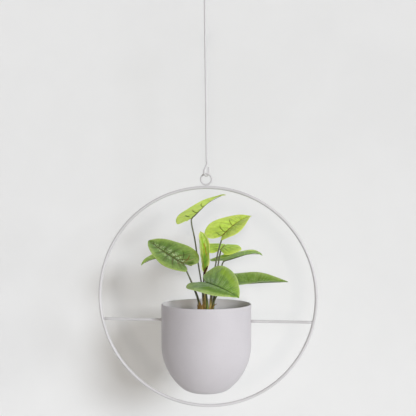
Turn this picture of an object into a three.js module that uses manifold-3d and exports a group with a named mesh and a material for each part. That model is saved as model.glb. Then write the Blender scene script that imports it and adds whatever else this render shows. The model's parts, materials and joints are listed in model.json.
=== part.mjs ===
// Hanging ring planter. A round steel hoop hangs by a welded eye on a bent wire hanger. Two bars across the
// hoop carry a thin-walled pot by its sides, and a foliage plant in its own nursery pot stands inside.
//
// Millimetres. +X runs along the bars, +Y away from the viewer, +Z up. The origin is the seat of the hanger's
// top crook: the point on the underside of the wire that rests on whatever the planter hangs from.
import * as THREE from "three";
import { mergeVertices } from "three/addons/utils/BufferGeometryUtils.js";
import Module from "manifold-3d";

const wasm = await Module();
wasm.setup();

// ---------------------------------------------------------------- driving dimensions

const SEAT_GAP = 0.3; // between pieces that are welded, glued or clamped together

// Wire hanger: one straight wire with the same open hook bent at each end
const HANGER_WIRE = 3;
const HANGER_REACH = 305; // from the upper hook's seat to the lower hook's seat
const HOOK_RADIUS = 7.2; // of the wire's centreline round the bottom of a hook
const HOOK_END_HEIGHT = 14.5; // of the cut end over the hook's bottom, on the centreline
const HOOK_KINK_HEIGHT = 20; // where the wire bends back over the middle of the hook
const HOOK_KINK_SIDE = 2;
const LOWER_HOOK_TURN = 66; // degrees from the plane of the hoop
const UPPER_HOOK_TURN = 0;
const SHANK_TOP_X = -2.5; // the wire leans a little between its two hooks
const SHANK_BOTTOM_X = 1;

// Hoop, eye and bars
const HOOP_DIAMETER = 350; // on the rod's centreline
const HOOP_ROD = 5;
const EYE_HOLE = 14.4;
const EYE_WIRE = 3;
const BAR_DIAMETER = 4.5;
const BAR_DROP = 38.5; // of the bars' axis below the hoop's centre
const BAR_BELOW_RIM = 26.8;

// Pot: straight above, domed below, with a small flat base
const POT_DIAMETER = 144;
const POT_HEIGHT = 140;
const POT_WALL = 1.5;
const POT_DOME_DEPTH = 76; // from the end of the straight wall to the base
const POT_DOME_RADIUS = 90;
const POT_BASE_FILLET = 30;

// Fixings from inside the pot into the bars' tapped ends
const SCREW_DIAMETER = 3;
const SCREW_LENGTH = 9;
const SCREW_HEAD_DIAMETER = 5.6;
const SCREW_HEAD_HEIGHT = 2.2;
const WASHER_DIAMETER = 7;
const WASHER_THICKNESS = 0.6;
const HOLE_CLEARANCE = 0.3; // round the screw, on the radius
const TAP_DEPTH = 9;

// Nursery pot and its soil
const NURSERY_TOP_DIAMETER = 118;
const NURSERY_BASE_DIAMETER = 90;
const NURSERY_WALL = 1.2;
const NURSERY_BELOW_RIM = 20; // its lip below the pot's rim
const NURSERY_SEAT_GAP = 0.8; // over the dome, whose flat facets lie inside the true curve
const NURSERY_LIP = 2.5; // how far the lip stands out
const NURSERY_LIP_HEIGHT = 6;
const DRAIN_HOLES = 6;
const DRAIN_DIAMETER = 8;
const DRAIN_CIRCLE = 58;
const SOIL_BELOW_LIP = 6;
const SOIL_MOUND = 2;

// Plant
const STALK_DIAMETER = 2.4;
const ROOTED_DEPTH = 12;
const ROOT_CLEARANCE = 0.5;
const BLADE_THICKNESS = 0.8;
const MIDRIB_SHARE = 0.34; // how far each stalk runs on under its blade, of the blade's length

// Half outlines of the flat blades, from the notch round the lobe, where there is one, to the tip. Along is
// counted in blade lengths from the notch and across in half widths.
const HEART = [
  [0, 0], [-0.1, 0.1], [-0.21, 0.3], [-0.22, 0.56], [-0.1, 0.86], [0.12, 1],
  [0.36, 0.93], [0.6, 0.68], [0.8, 0.36], [0.92, 0.13], [1, 0],
];
const FULL = [
  [0, 0], [-0.1, 0.1], [-0.21, 0.3], [-0.22, 0.56], [-0.1, 0.86], [0.12, 1],
  [0.36, 0.95], [0.62, 0.73], [0.82, 0.43], [0.94, 0.18], [1, 0],
];
const DRAWN_OUT = [
  [0, 0], [-0.1, 0.1], [-0.21, 0.3], [-0.22, 0.56], [-0.1, 0.86], [0.12, 1],
  [0.35, 0.9], [0.57, 0.6], [0.76, 0.28], [0.91, 0.1], [1, 0],
];
const LANCE = [[0, 0], [0.03, 0.22], [0.13, 0.46], [0.3, 0.78], [0.5, 1], [0.72, 0.92], [0.89, 0.5], [1, 0]];
const DRAWN_LOBE = 0.22; // how far the heart's lobe reaches behind the notch

// A dry sheath stands open at the back round the stalks' feet, and a short dry shoot beside them
const SHEATH_MIDDLE_X = -8.5;
const SHEATH_MIDDLE_Y = -4;
const SHEATH_RADIUS = 4.8;
const SHEATH_HEIGHT = 34;
const SHEATH_WALL = 0.8;
const SHOOT_DIAMETER = 2.2;
const SHOOT = [[9, -6.5, 0], [9, -6.2, 6], [9.7, -5, 18], [13, -4.5, 24], [17.5, -4.5, 26.5]];

// The lengths in the list of leaves and in SHOOT count for a plant of this size. A plant twice as large has 200.
const PLANT_SIZE = 100;

// One entry per leaf. base is the blade's notch from the middle of the soil, length and width are the flat
// blade's. heading turns the blade's length from +X towards +Y, rise lifts it, droop bends it down over its
// length and hook bends its last third down further, sway bends it sideways, roll turns it about its length,
// fold lifts each half from the midrib and curl turns the margins down again. lobe is the lobes' reach in
// blade lengths. root is where the stalk leaves the soil and via are points on its way up. Angles in degrees.
const LEAVES = [
  { name: "top", form: DRAWN_OUT, length: 72, width: 60, base: [-32, 38, 162], heading: -34, rise: 35,
    droop: -10, hook: 52, sway: 35, roll: 14, fold: 18, curl: -6, lobe: 0.22, root: [-3, 3],
    via: [[-6, 6, 39], [-16.4, 21, 91], [-23, 31, 127]] },
  { name: "upper_right", form: HEART, length: 87, width: 68, base: [23.4, 20, 134.5], heading: 60, rise: 32,
    droop: 20, hook: 0, sway: -5, roll: 5, fold: 30, curl: 29, lobe: 0.19, root: [5, 2],
    via: [[10, 4, 57], [17, 9, 104]] },
  { name: "furled", form: LANCE, length: 68, width: 34, base: [-3.9, 10, 74.3], heading: -151, rise: 80,
    droop: 18, hook: 0, sway: -16, roll: -87, fold: 35, curl: -56, lobe: 0.2, root: [1, -3.5],
    via: [[-1.5, 2, 37], [-5.4, 10, 58]] },
  { name: "middle_right", form: HEART, length: 57, width: 65, base: [20.7, 22, 112], heading: 77, rise: 21,
    droop: 33, hook: 0, sway: 19, roll: 4, fold: 4, curl: 11, lobe: 0.25, root: [7.5, 5.5],
    via: [[14.9, 9, 66], [19.4, 11, 97]] },
  { name: "right_back", form: HEART, length: 74, width: 42, base: [22.4, 34, 93.8], heading: 13, rise: 12,
    droop: -8, hook: 56, sway: 48, roll: 0, fold: 37, curl: 37, lobe: 0.27, root: [10, 3],
    via: [[14, 4.5, 43], [19.8, 16, 64]] },
  { name: "left", form: FULL, length: 87, width: 68, base: [-35.5, -6, 89.7], heading: 158, rise: 25,
    droop: 10, hook: 0, sway: -19, roll: -26, fold: 18, curl: 9, lobe: 0.18, root: [-10.5, -2],
    via: [[-12.1, -2.5, 27], [-22.6, -4, 58]] },
  { name: "far_left", form: HEART, length: 83, width: 43, base: [-41.8, 30, 88.8], heading: 178, rise: 26,
    droop: 56, hook: 14, sway: -25, roll: -4, fold: 42, curl: 28, lobe: 0.17, root: [-10, 3],
    via: [[-13.3, 6, 31], [-22.2, 13, 51], [-33, 22, 71]] },
  { name: "front", form: FULL, length: 82, width: 74, base: [0.5, -16, 62.3], heading: -47, rise: -4,
    droop: 19, hook: 0, sway: -1, roll: 28, fold: 17, curl: 3, lobe: 0.22, root: [4, -5],
    via: [[2.1, -11, 35]] },
  { name: "right_low", form: HEART, length: 109, width: 52, base: [30.7, 4, 57.1], heading: -23, rise: 7,
    droop: 4, hook: 0, sway: 0, roll: 21, fold: 37, curl: 35, lobe: 0.1, root: [11.5, -2],
    via: [[13.4, 0, 32]] },
];

// How finely the forms are divided
const HOOP_STEPS = 84;
const ROD_SIDES = 10;
const EYE_STEPS = 24;
const WIRE_SIDES = 8;
const POT_STEPS = 48;
const NURSERY_STEPS = 36;
const SCREW_STEPS = 16;
const STALK_SIDES = 6;
const BLADE_ROWS = 12;
const BLADE_COLUMNS = 6; // across both halves
const SHEATH_COLUMNS = 8;
const MIDRIB_PARTS = 12; // steps in which a midrib's bend is added up

// ---------------------------------------------------------------- places worked out from the sizes

const rad = THREE.MathUtils.degToRad;

const hangerBottomZ = -HANGER_REACH - HANGER_WIRE / 2; // wire's centre at the bottom of the lower hook
const eyeCentreRadius = (EYE_HOLE + EYE_WIRE) / 2;
const pivotZ = -HANGER_REACH + SEAT_GAP + EYE_WIRE / 2; // centre of the eye's top wire: the planter swings here
const eyeZ = pivotZ - eyeCentreRadius;
const hoopRadius = HOOP_DIAMETER / 2;
const hoopZ = eyeZ - eyeCentreRadius - EYE_WIRE / 2 - SEAT_GAP - HOOP_ROD / 2 - hoopRadius;
const barZ = hoopZ - BAR_DROP;
const rimZ = barZ + BAR_BELOW_RIM;
const potRadius = POT_DIAMETER / 2;
const potStraight = POT_HEIGHT - POT_DOME_DEPTH; // depth of the straight wall
const nurseryLipZ = rimZ - NURSERY_BELOW_RIM;
const soilZ = nurseryLipZ - SOIL_BELOW_LIP;

const grown = (lengths) => lengths.map((length) => (length * PLANT_SIZE) / 100);
const leaves = LEAVES.map((leaf) => ({
  ...leaf,
  length: (leaf.length * PLANT_SIZE) / 100,
  width: (leaf.width * PLANT_SIZE) / 100,
  base: grown(leaf.base),
  root: grown(leaf.root),
  via: leaf.via.map(grown),
}));

// ---------------------------------------------------------------- tools

const finish = (color, roughness, metalness = 0) =>
  new THREE.MeshStandardMaterial({ color, roughness, metalness });
const HOOP_PAINT = finish(0xe3e2df, 0.45, 0.2);
const POT_PAINT = finish(0xcfcbcb, 0.7);
const ZINC = finish(0xb4b6b8, 0.4, 1);
const BLACK_PLASTIC = finish(0x26272a, 0.6);
const SOIL = finish(0x3b2b20, 0.95);
const YOUNG_LEAF = finish(0xa8c850, 0.5);
const OLD_LEAF = finish(0x5f8a3a, 0.5);
const STALK_GREEN = finish(0x5d6148, 0.6);
const DRY_SHEATH = finish(0x6b4a2c, 0.85);

const planter = new THREE.Group();
const plant = new THREE.Group();
plant.position.z = soilZ;
planter.add(plant);

// Adds a named piece to a group.
function place(group, name, geometry, material) {
  const mesh = new THREE.Mesh(geometry, material);
  mesh.name = name;
  group.add(mesh);
  return mesh;
}

// Joins equal corners and drops the faces that lose their area by it.
function welded(geometry) {
  const bare = geometry.clone();
  bare.deleteAttribute("normal");
  bare.deleteAttribute("uv");
  const merged = mergeVertices(bare, 1e-3);
  const kept = [];
  const index = merged.index.array;
  for (let i = 0; i < index.length; i += 3) {
    const [a, b, c] = index.slice(i, i + 3);
    if (a !== b && b !== c && c !== a) kept.push(a, b, c);
  }
  return merged.setIndex(kept);
}

function solid(geometry) {
  const closed = welded(geometry);
  return new wasm.Manifold(
    new wasm.Mesh({
      numProp: 3,
      vertProperties: new Float32Array(closed.attributes.position.array),
      triVerts: new Uint32Array(closed.index.array),
    }),
  );
}

function geometryOf(manifold) {
  const mesh = manifold.getMesh();
  return new THREE.BufferGeometry()
    .setAttribute("position", new THREE.BufferAttribute(mesh.vertProperties, 3))
    .setIndex(new THREE.BufferAttribute(mesh.triVerts, 1));
}

function cut(geometry, ...tools) {
  return geometryOf(tools.reduce((body, tool) => body.subtract(solid(tool)), solid(geometry)));
}

// Turns a profile of [radius, height] points round the Z axis.
function revolve(profile, steps) {
  const points = profile.map(([r, z]) => new THREE.Vector2(Math.max(r, 0), z));
  return new THREE.LatheGeometry(points, steps).rotateX(Math.PI / 2);
}

// A rod from one point to another.
function rod(from, to, radius, sides) {
  const axis = new THREE.Vector3().subVectors(to, from);
  const turn = new THREE.Quaternion().setFromUnitVectors(
    new THREE.Vector3(0, 1, 0),
    axis.clone().normalize(),
  );
  const middle = new THREE.Vector3().addVectors(from, to).multiplyScalar(0.5);
  return new THREE.CylinderGeometry(radius, radius, axis.length(), sides)
    .applyQuaternion(turn)
    .translate(middle.x, middle.y, middle.z);
}

// A smooth line through its points that is stepped by its points and not by length, so that a long straight
// run takes few steps and a bend as many as it has points.
class BentLine extends THREE.CatmullRomCurve3 {
  getPointAt(share, target) {
    return this.getPoint(share, target);
  }
  getTangentAt(share, target) {
    return this.getTangent(share, target);
  }
}

function wireAlong(points, diameter, sides, stepsPerPoint) {
  const section = new THREE.Shape(
    Array.from({ length: sides }, (_, i) => {
      const angle = (2 * Math.PI * i) / sides;
      return new THREE.Vector2(Math.cos(angle), Math.sin(angle)).multiplyScalar(diameter / 2);
    }),
  );
  return new THREE.ExtrudeGeometry(section, {
    steps: (points.length - 1) * stepsPerPoint,
    extrudePath: new BentLine(points),
  });
}

// ---------------------------------------------------------------- hanger, hoop, eye and bars

// Centreline of an open hook in its own plane, from the shank to the cut end. The bottom of the hook is at
// the origin, height runs towards the shank, and shankSide is where the straight shank stands.
function hookLine(shankSide) {
  const points = [
    [shankSide, HOOK_KINK_HEIGHT + 6],
    [shankSide, HOOK_KINK_HEIGHT + 4],
    [HOOK_KINK_SIDE, HOOK_KINK_HEIGHT],
    [(HOOK_KINK_SIDE - HOOK_RADIUS) / 2, (HOOK_KINK_HEIGHT + HOOK_RADIUS) / 2],
  ];
  for (let angle = 180; angle <= 360; angle += 22.5)
    points.push([HOOK_RADIUS * Math.cos(rad(angle)), HOOK_RADIUS * (1 + Math.sin(rad(angle)))]);
  points.push([HOOK_RADIUS, (HOOK_RADIUS + HOOK_END_HEIGHT) / 2]);
  points.push([HOOK_RADIUS, HOOK_END_HEIGHT]);
  return points;
}

function hanger() {
  const inSpace = (line, turn, seatZ, up) =>
    line.map(([side, height]) => {
      const across = new THREE.Vector3(Math.cos(rad(turn)), Math.sin(rad(turn)), 0);
      return across.multiplyScalar(side).setZ(seatZ + up * height);
    });
  const upper = inSpace(hookLine(SHANK_TOP_X), UPPER_HOOK_TURN, HANGER_WIRE / 2, -1);
  const lower = inSpace(hookLine(SHANK_BOTTOM_X), LOWER_HOOK_TURN, hangerBottomZ, 1);
  return wireAlong([...upper.reverse(), ...lower], HANGER_WIRE, WIRE_SIDES, 2);
}

const hoopTube = (clearance) =>
  new THREE.TorusGeometry(hoopRadius, HOOP_ROD / 2 + clearance, ROD_SIDES, HOOP_STEPS)
    .rotateX(Math.PI / 2)
    .translate(0, 0, hoopZ);

function hangingEye() {
  return new THREE.TorusGeometry(eyeCentreRadius, EYE_WIRE / 2, WIRE_SIDES, EYE_STEPS)
    .rotateX(Math.PI / 2)
    .translate(0, 0, eyeZ);
}

// A bar from the pot's side to the hoop, coped to the hoop's tube and tapped for the screw. side is +1 or -1.
function bar(side) {
  const inner = potRadius + SEAT_GAP;
  const reach = Math.sqrt(hoopRadius ** 2 - BAR_DROP ** 2);
  const at = (x) => new THREE.Vector3(side * x, 0, barZ);
  const tapped = rod(at(inner - 1), at(inner + TAP_DEPTH), SCREW_DIAMETER / 2 + HOLE_CLEARANCE, SCREW_STEPS);
  return cut(rod(at(inner), at(reach), BAR_DIAMETER / 2, SCREW_STEPS), hoopTube(SEAT_GAP), tapped);
}

// ---------------------------------------------------------------- pot and its fixings

// Outline of the pot's outside, or of its inside when inset is the wall, from the rim to the axis.
function potLine(inset) {
  const domeX = potRadius - POT_DOME_RADIUS;
  const filletX = domeX + Math.sqrt(
    (POT_DOME_RADIUS - POT_BASE_FILLET) ** 2 - (POT_DOME_DEPTH - POT_BASE_FILLET) ** 2,
  );
  const filletZ = POT_BASE_FILLET - POT_HEIGHT;
  const meet = Math.atan2(filletZ + potStraight, filletX - domeX);
  const arc = (x, z, radius, from, to, parts) =>
    Array.from({ length: parts + 1 }, (_, i) => {
      const angle = from + ((to - from) * i) / parts;
      return [x + radius * Math.cos(angle), z + radius * Math.sin(angle)];
    });
  return [
    ...arc(domeX, -potStraight, POT_DOME_RADIUS - inset, 0, meet, 6),
    ...arc(filletX, filletZ, POT_BASE_FILLET - inset, meet, -Math.PI / 2, 3).slice(1),
    [0, inset - POT_HEIGHT],
  ];
}

function pot() {
  const lip = POT_WALL / 2;
  const rim = [0, 60, 120, 180].map((angle) => [
    potRadius - lip + lip * Math.cos(rad(angle)),
    lip * (Math.sin(rad(angle)) - 1),
  ]);
  const shell = revolve([...potLine(0).reverse(), ...rim, ...potLine(POT_WALL)], POT_STEPS)
    .translate(0, 0, rimZ);
  const holes = [-1, 1].map((side) =>
    rod(
      new THREE.Vector3(side * (potRadius - 3 * POT_WALL), 0, barZ),
      new THREE.Vector3(side * (potRadius + POT_WALL), 0, barZ),
      SCREW_DIAMETER / 2 + HOLE_CLEARANCE,
      SCREW_STEPS,
    ),
  );
  return cut(shell, ...holes);
}

// Lays a turned piece on the screws' axis, with its height pointing out along the bar, from a radius of the pot.
function onBarAxis(geometry, side, radius) {
  return geometry
    .rotateY((side * Math.PI) / 2)
    .translate(side * radius, 0, barZ);
}

const washerFace = potRadius - POT_WALL - SEAT_GAP;
const headFace = washerFace - WASHER_THICKNESS - SEAT_GAP;

function washer(side) {
  const bore = SCREW_DIAMETER / 2 + HOLE_CLEARANCE;
  const ring = [
    [bore, 0], [WASHER_DIAMETER / 2, 0], [WASHER_DIAMETER / 2, WASHER_THICKNESS], [bore, WASHER_THICKNESS],
    [bore, 0],
  ];
  return onBarAxis(revolve(ring, SCREW_STEPS), side, washerFace - WASHER_THICKNESS);
}

function screw(side) {
  const head = SCREW_HEAD_DIAMETER / 2;
  const profile = [
    [0, -SCREW_HEAD_HEIGHT], [head * 0.55, -SCREW_HEAD_HEIGHT], [head * 0.9, -SCREW_HEAD_HEIGHT * 0.7],
    [head, -SCREW_HEAD_HEIGHT * 0.3], [head, 0], [SCREW_DIAMETER / 2, 0], [SCREW_DIAMETER / 2, SCREW_LENGTH],
    [0, SCREW_LENGTH],
  ];
  return onBarAxis(revolve(profile, SCREW_STEPS), side, headFace);
}

// ---------------------------------------------------------------- nursery pot and soil

const nurseryTop = NURSERY_TOP_DIAMETER / 2;
const nurseryBase = NURSERY_BASE_DIAMETER / 2;

// The height at which the nursery pot's bottom edge rests on the inside of the dome.
const nurseryFloorZ = rimZ - potStraight + NURSERY_SEAT_GAP - Math.sqrt(
  (POT_DOME_RADIUS - POT_WALL) ** 2 - (nurseryBase - potRadius + POT_DOME_RADIUS) ** 2,
);
const nurserySlope = (nurseryTop - nurseryBase) / (nurseryLipZ - nurseryFloorZ);
const nurseryRadiusAt = (z) => nurseryBase + nurserySlope * (z - nurseryFloorZ);

function nurseryPot() {
  const lipBottom = nurseryLipZ - NURSERY_LIP_HEIGHT;
  const floorTop = nurseryFloorZ + NURSERY_WALL;
  const profile = [
    [0, nurseryFloorZ], [nurseryBase, nurseryFloorZ], [nurseryRadiusAt(lipBottom), lipBottom],
    [nurseryTop + NURSERY_LIP, lipBottom], [nurseryTop + NURSERY_LIP, nurseryLipZ],
    [nurseryTop - NURSERY_WALL, nurseryLipZ], [nurseryRadiusAt(floorTop) - NURSERY_WALL, floorTop],
    [0, floorTop],
  ];
  const drains = Array.from({ length: DRAIN_HOLES }, (_, i) => {
    const angle = (2 * Math.PI * i) / DRAIN_HOLES;
    const x = (DRAIN_CIRCLE / 2) * Math.cos(angle);
    const y = (DRAIN_CIRCLE / 2) * Math.sin(angle);
    return rod(
      new THREE.Vector3(x, y, nurseryFloorZ - NURSERY_WALL),
      new THREE.Vector3(x, y, floorTop + NURSERY_WALL),
      DRAIN_DIAMETER / 2,
      SCREW_STEPS,
    );
  });
  return cut(revolve(profile, NURSERY_STEPS), ...drains);
}

function pottingSoil() {
  const bottom = nurseryFloorZ + NURSERY_WALL + SEAT_GAP;
  const inside = (z) => nurseryRadiusAt(z) - NURSERY_WALL - SEAT_GAP;
  const profile = [
    [0, bottom], [inside(bottom), bottom], [inside(soilZ - SOIL_MOUND), soilZ - SOIL_MOUND],
    [nurseryTop * 0.6, soilZ - SOIL_MOUND * 0.3], [nurseryTop * 0.3, soilZ], [0, soilZ],
  ];
  const sockets = leaves.map(({ root: [x, y] }) =>
    rod(
      new THREE.Vector3(x, y, soilZ - ROOTED_DEPTH - SEAT_GAP),
      new THREE.Vector3(x, y, soilZ + 1),
      STALK_DIAMETER / 2 + ROOT_CLEARANCE,
      STALK_SIDES,
    ),
  );
  return cut(revolve(profile, NURSERY_STEPS), ...sockets);
}

// ---------------------------------------------------------------- plant

// Returns a function that bends the flat blade of a leaf into place. It takes a place on the flat blade,
// along from the notch and across from the midrib, a side of +1 or -1 or 0 on the midrib, and a height off
// the upper face.
function bladeShape(leaf) {
  const [rise, droop, hook, sway, roll, fold, curl, heading] =
    ["rise", "droop", "hook", "sway", "roll", "fold", "curl", "heading"].map((key) => rad(leaf[key]));
  const half = leaf.width / 2;
  const turn = new THREE.Matrix4()
    .makeTranslation(...leaf.base)
    .multiply(new THREE.Matrix4().makeRotationZ(heading))
    .multiply(new THREE.Matrix4().makeRotationY(-rise))
    .multiply(new THREE.Matrix4().makeRotationX(roll));
  const bendAt = (share) => droop * share + hook * Math.max(share, 0) ** 4;
  return (along, across, side, off) => {
    const q = Math.abs(across) / half;
    const slope = fold - curl * q;
    const out = (half * (Math.sin(fold) - Math.sin(slope))) / curl - Math.abs(side) * off * Math.sin(slope);
    const up = (half * (Math.cos(slope) - Math.cos(fold))) / curl
      + (side ? off * Math.cos(slope) : off / Math.cos(fold));
    const share = along / leaf.length;
    const midrib = new THREE.Vector2();
    for (let i = 0; i < MIDRIB_PARTS; i++) {
      const bend = bendAt((share * (i + 0.5)) / MIDRIB_PARTS);
      midrib.x += (Math.cos(bend) * along) / MIDRIB_PARTS;
      midrib.y -= (Math.sin(bend) * along) / MIDRIB_PARTS;
    }
    return new THREE.Vector3(
      midrib.x + up * Math.sin(bendAt(share)),
      side * out + (leaf.length * sway * share * Math.abs(share)) / 2,
      midrib.y + up * Math.cos(bendAt(share)),
    ).applyMatrix4(turn);
  };
}

// A closed thin solid between an upper and a lower grid of points.
function thinSolid(rows, columns, pointAt) {
  const position = [];
  for (const lower of [0, 1])
    for (let row = 0; row <= rows; row++)
      for (let column = 0; column <= columns; column++)
        position.push(...pointAt(row, column, lower));
  const at = (row, column, lower) => (lower * (rows + 1) + row) * (columns + 1) + column;
  const index = [];
  const quad = (a, b, c, d) => index.push(a, c, b, a, d, c);
  for (let row = 0; row < rows; row++) {
    for (let column = 0; column < columns; column++) {
      quad(at(row, column, 0), at(row + 1, column, 0), at(row + 1, column + 1, 0), at(row, column + 1, 0));
      quad(at(row, column, 1), at(row, column + 1, 1), at(row + 1, column + 1, 1), at(row + 1, column, 1));
    }
    quad(at(row, 0, 0), at(row, 0, 1), at(row + 1, 0, 1), at(row + 1, 0, 0));
    quad(at(row + 1, columns, 0), at(row + 1, columns, 1), at(row, columns, 1), at(row, columns, 0));
  }
  for (let column = 0; column < columns; column++) {
    quad(at(0, column + 1, 0), at(0, column + 1, 1), at(0, column, 1), at(0, column, 0));
    quad(at(rows, column, 0), at(rows, column, 1), at(rows, column + 1, 1), at(rows, column + 1, 0));
  }
  return welded(
    new THREE.BufferGeometry()
      .setAttribute("position", new THREE.Float32BufferAttribute(position, 3))
      .setIndex(index),
  );
}

// Rows of a blade run like its side veins, from the midrib out and forward to the margin.
function blade(leaf) {
  const shape = bladeShape(leaf);
  const outline = new THREE.SplineCurve(leaf.form.map(([x, y]) => new THREE.Vector2(x, y)));
  const halfColumns = BLADE_COLUMNS / 2;
  return thinSolid(BLADE_ROWS, BLADE_COLUMNS, (row, column, lower) => {
    const share = row / BLADE_ROWS;
    const margin = outline.getPoint(share);
    if (margin.x < 0) margin.x *= leaf.lobe / DRAWN_LOBE;
    const side = Math.sign(halfColumns - column);
    const q = Math.abs(column - halfColumns) / halfColumns;
    const along = THREE.MathUtils.lerp(share ** 1.6, margin.x, q) * leaf.length;
    const across = (margin.y * q * leaf.width) / 2;
    return shape(along, across, side, -lower * BLADE_THICKNESS);
  });
}

// A stalk stands in its socket in the soil, rises to the notch and runs on under the blade as its midrib.
function stalk(leaf) {
  const shape = bladeShape(leaf);
  const [x, y] = leaf.root;
  const keel = BLADE_THICKNESS / Math.cos(rad(leaf.fold));
  const under = (share) =>
    shape(share * leaf.length, 0, 0, -(keel + SEAT_GAP + STALK_DIAMETER / 2) * Math.cos(rad(leaf.fold)));
  const via = leaf.via.map((point) => new THREE.Vector3(...point));
  const points = [
    new THREE.Vector3(x, y, -ROOTED_DEPTH),
    new THREE.Vector3(x, y, -ROOTED_DEPTH / 2),
    new THREE.Vector3(x, y, 1),
    ...via,
    under(0).lerp(via.at(-1), 0.12),
    under(0.03),
    under(MIDRIB_SHARE / 2),
    under(MIDRIB_SHARE),
  ];
  return wireAlong(points, STALK_DIAMETER, STALK_SIDES, 2);
}

// The sheath's top edge is ragged and leans out a little.
function drySheath() {
  return thinSolid(3, SHEATH_COLUMNS, (row, column, lower) => {
    const angle = rad(170 + (200 * column) / SHEATH_COLUMNS);
    const share = row / 3;
    const radius = SHEATH_RADIUS + 0.6 * share - lower * SHEATH_WALL;
    const ragged = [0.62, 0.8, 0.72, 0.95, 1, 0.78, 0.88, 0.7, 0.5][column];
    return [
      SHEATH_MIDDLE_X + radius * Math.cos(angle),
      SHEATH_MIDDLE_Y + radius * Math.sin(angle),
      SEAT_GAP + SHEATH_HEIGHT * ragged * share,
    ];
  });
}

function dryShoot() {
  const points = SHOOT.map(grown).map(([x, y, z]) => new THREE.Vector3(x, y, z + SEAT_GAP));
  return wireAlong(points, SHOOT_DIAMETER, STALK_SIDES, 2);
}

// ---------------------------------------------------------------- assembly

place(planter, "hanger_wire", hanger(), HOOP_PAINT);
place(planter, "hanging_eye", hangingEye(), HOOP_PAINT);
place(planter, "hoop", hoopTube(0), HOOP_PAINT);
place(planter, "pot", pot(), POT_PAINT);
for (const [word, side] of [["left", -1], ["right", 1]]) {
  place(planter, `bar_${word}`, bar(side), HOOP_PAINT);
  place(planter, `washer_${word}`, washer(side), ZINC);
  place(planter, `screw_${word}`, screw(side), ZINC);
}
place(planter, "nursery_pot", nurseryPot(), BLACK_PLASTIC);
place(planter, "potting_soil", pottingSoil(), SOIL);

for (const leaf of leaves) {
  const young = ["top", "upper_right", "furled", "middle_right"].includes(leaf.name);
  place(plant, `leaf_${leaf.name}`, blade(leaf), young ? YOUNG_LEAF : OLD_LEAF);
  place(plant, `stalk_${leaf.name}`, stalk(leaf), leaf.name === "furled" ? DRY_SHEATH : STALK_GREEN);
}
place(plant, "dry_sheath", drySheath(), DRY_SHEATH);
place(plant, "dry_shoot", dryShoot(), DRY_SHEATH);

export default planter;
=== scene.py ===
"""Looks of a hanging ring planter: a steel hoop on a wire hanger, a round-bottomed pot and a young plant.

Places are in millimetres in this file, in the CAD frame, and become metres in mesh_piece.
"""

import json
import math

import bmesh
import bpy
import numpy as np
from mathutils import Euler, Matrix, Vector


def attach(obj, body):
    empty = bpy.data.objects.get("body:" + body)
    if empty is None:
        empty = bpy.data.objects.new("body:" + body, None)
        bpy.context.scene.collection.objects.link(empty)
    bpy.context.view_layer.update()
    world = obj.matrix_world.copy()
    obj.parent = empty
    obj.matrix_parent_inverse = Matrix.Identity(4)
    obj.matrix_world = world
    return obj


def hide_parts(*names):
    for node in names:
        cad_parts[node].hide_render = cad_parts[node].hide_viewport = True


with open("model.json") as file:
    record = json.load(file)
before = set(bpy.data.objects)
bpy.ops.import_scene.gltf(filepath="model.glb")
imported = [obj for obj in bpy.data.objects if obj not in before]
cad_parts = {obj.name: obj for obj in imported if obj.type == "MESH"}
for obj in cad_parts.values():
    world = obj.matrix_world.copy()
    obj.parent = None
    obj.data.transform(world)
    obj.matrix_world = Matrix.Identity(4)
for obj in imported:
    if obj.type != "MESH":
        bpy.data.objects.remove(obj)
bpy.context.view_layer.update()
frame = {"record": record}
rng = np.random.default_rng(7)

# ---------------------------------------------------------------- sizes repeated from the CAD

WIRE = 3.0
HANGER_REACH = 305.0
HOOK_RADIUS = 7.2
HOOK_END_HEIGHT = 14.5
HOOK_KINK_HEIGHT = 20.0
HOOK_KINK_SIDE = 2.0
HOOP_RADIUS = 175.0
HOOP_ROD = 5.0
EYE_CENTRE_RADIUS = 8.7
BAR_DIAMETER = 4.5
EYE_Z = -311.9
HOOP_Z = -499.9
BAR_Z = -538.4
RIM_Z = -511.6
POT_RADIUS = 72.0
POT_HEIGHT = 140.0
POT_WALL = 1.5
POT_STRAIGHT = 64.0
POT_DOME_RADIUS = 90.0
POT_BASE_FILLET = 30.0
LIP_Z = -531.6
SOIL_Z = -537.6
NURSERY_TOP = 59.0
NURSERY_BASE = 45.0
NURSERY_WALL = 1.2
NURSERY_SEAT_GAP = 0.8
STALK = 2.4
BLADE_THICKNESS = 0.8
LOBE_REACH = 0.22

POT_STEPS = 144
SIDE_VEINS = 9
FINE_VEINS = 33

# Blades as (share of the length, share of half the width) from the notch to the tip. Three share one lobe.
LOBE = [(0, 0), (-0.1, 0.1), (-0.21, 0.3), (-0.22, 0.56), (-0.1, 0.86), (0.12, 1)]
HEART = LOBE + [(0.36, 0.93), (0.6, 0.68), (0.8, 0.36), (0.92, 0.13), (1, 0)]
FULL = LOBE + [(0.36, 0.95), (0.62, 0.73), (0.82, 0.43), (0.94, 0.18), (1, 0)]
DRAWN_OUT = LOBE + [(0.35, 0.9), (0.57, 0.6), (0.76, 0.28), (0.91, 0.1), (1, 0)]
LANCE = [(0, 0), (0.03, 0.22), (0.13, 0.46), (0.3, 0.78), (0.5, 1), (0.72, 0.92), (0.89, 0.5), (1, 0)]

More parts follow.
